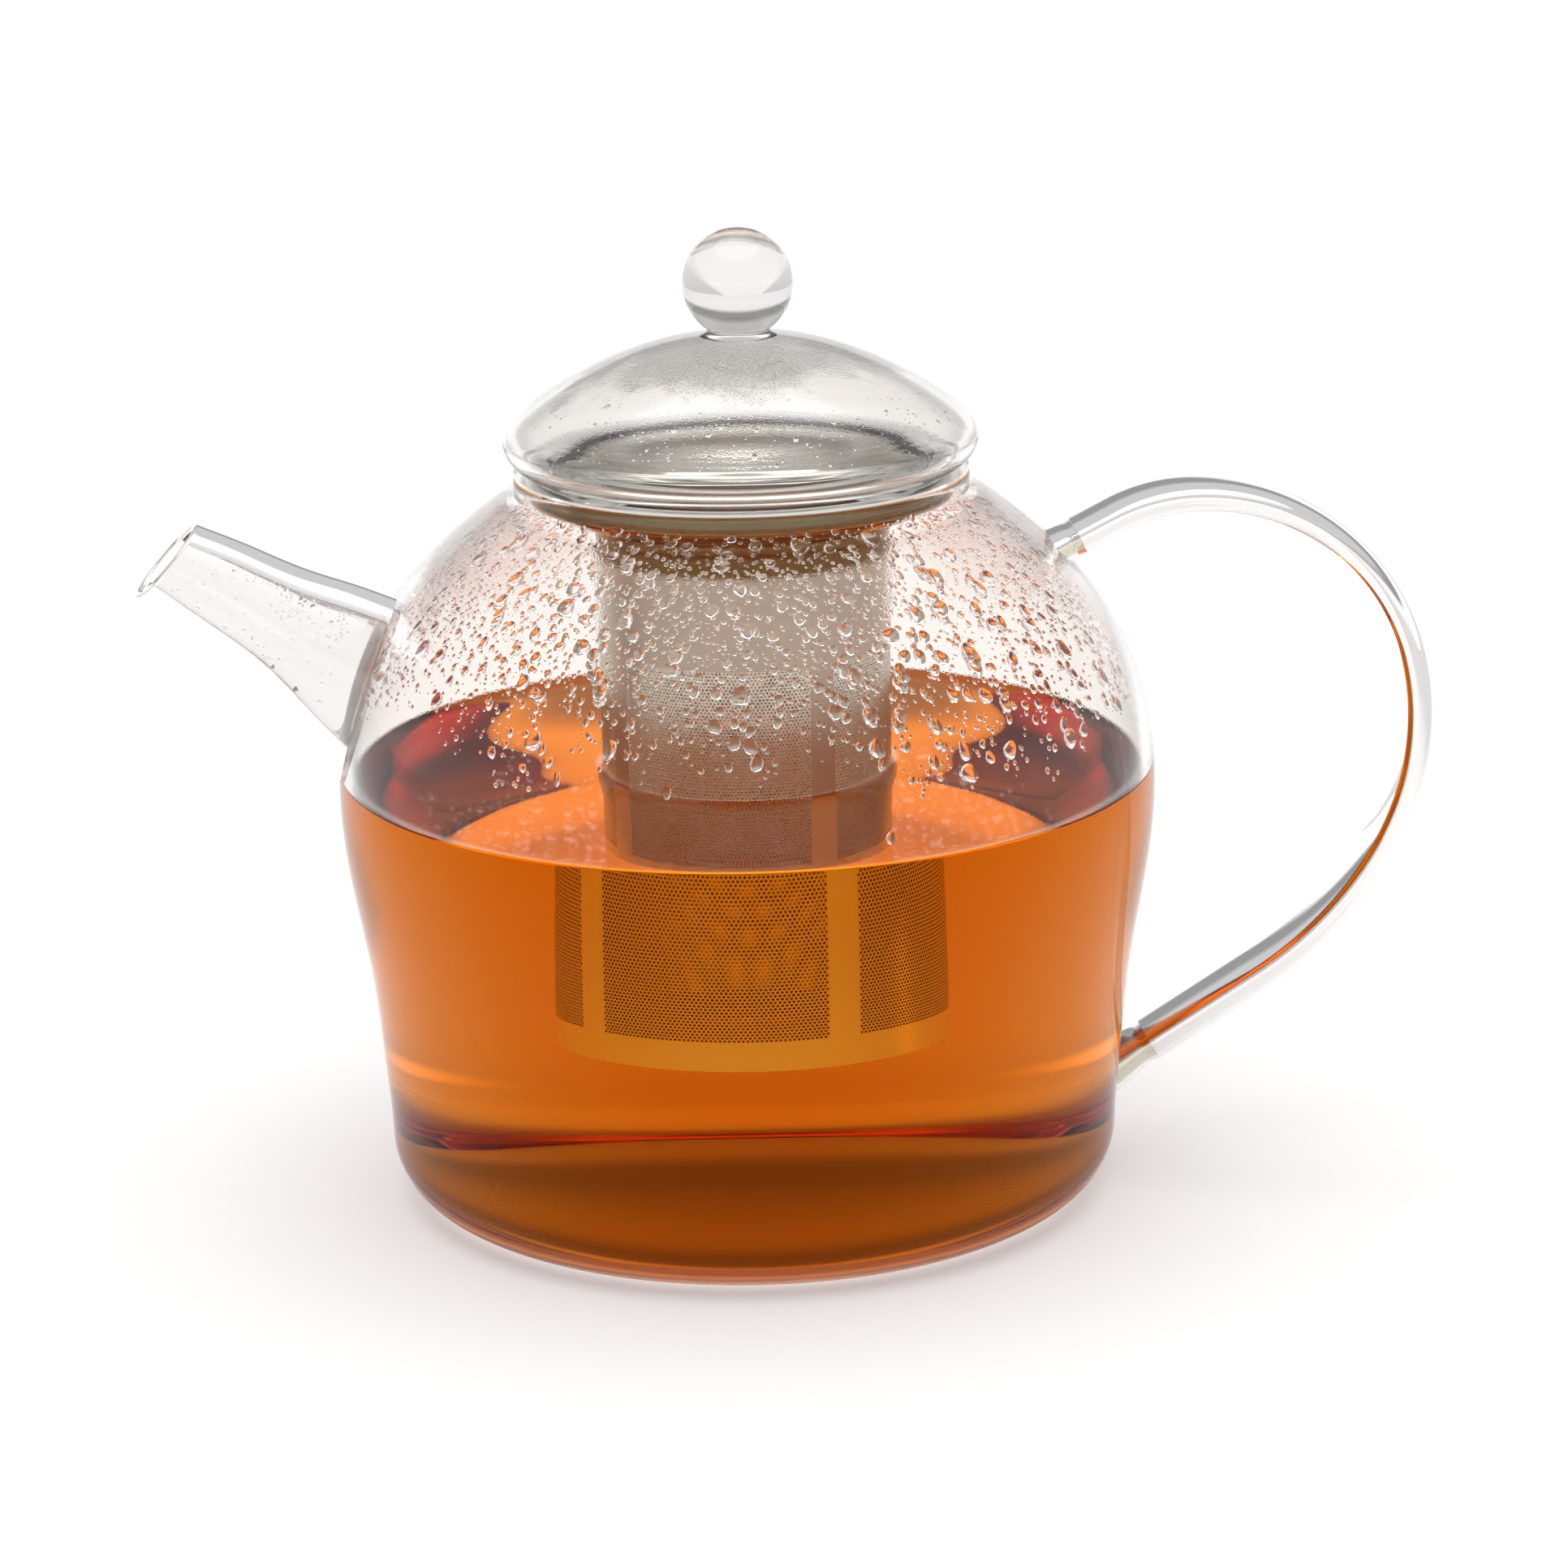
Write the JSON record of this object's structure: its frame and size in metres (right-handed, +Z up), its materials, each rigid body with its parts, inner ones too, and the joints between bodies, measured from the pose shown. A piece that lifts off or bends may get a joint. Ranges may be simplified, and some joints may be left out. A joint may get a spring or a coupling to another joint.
{
  "type": "glass teapot",
  "caption": "Clear glass teapot with a fused spout and strap handle, a lift-out perforated steel strainer and a domed glass lid with a ball knob, holding tea.",
  "frame": {"origin": "centre of the flat foot, on the pot's own axis, at the height of the surface that it stands on", "axes": "+Z up along the pot's axis, -X towards the spout, +X towards the handle, +Y across"},
  "size_m": [0.2372, 0.15, 0.1795],
  "materials": {
    "body_glass": "clear, polished, with condensation inside above the tea",
    "spout_glass": "clear, polished, with fine condensation inside",
    "handle_glass": "clear, polished, solid",
    "lid_glass": "clear, polished, lightly fogged inside",
    "tea": "clear amber liquid",
    "collar_steel": "spun satin",
    "sleeve_steel": "satin, perforated"
  },
  "bodies": {
    "pot": {"glass_body": "body_glass", "spout": "spout_glass", "handle": "handle_glass", "handle_upper_boss": "handle_glass", "handle_lower_boss": "handle_glass", "tea": "tea"},
    "strainer": {"strainer_collar": "collar_steel", "strainer_sleeve": "sleeve_steel", "strainer_bottom": "sleeve_steel"},
    "lid": {"lid_dome": "lid_glass", "lid_collar": "lid_glass", "lid_knob": "lid_glass"}
  },
  "joints": [
    {"name": "strainer_lift", "type": "slide", "parent": "pot", "child": "strainer", "axis": [0, 0, 1], "range_m": [0, 0.12]},
    {"name": "lid_lift", "type": "slide", "parent": "strainer", "child": "lid", "axis": [0, 0, 1], "range_m": [0, 0.06]}
  ]
}
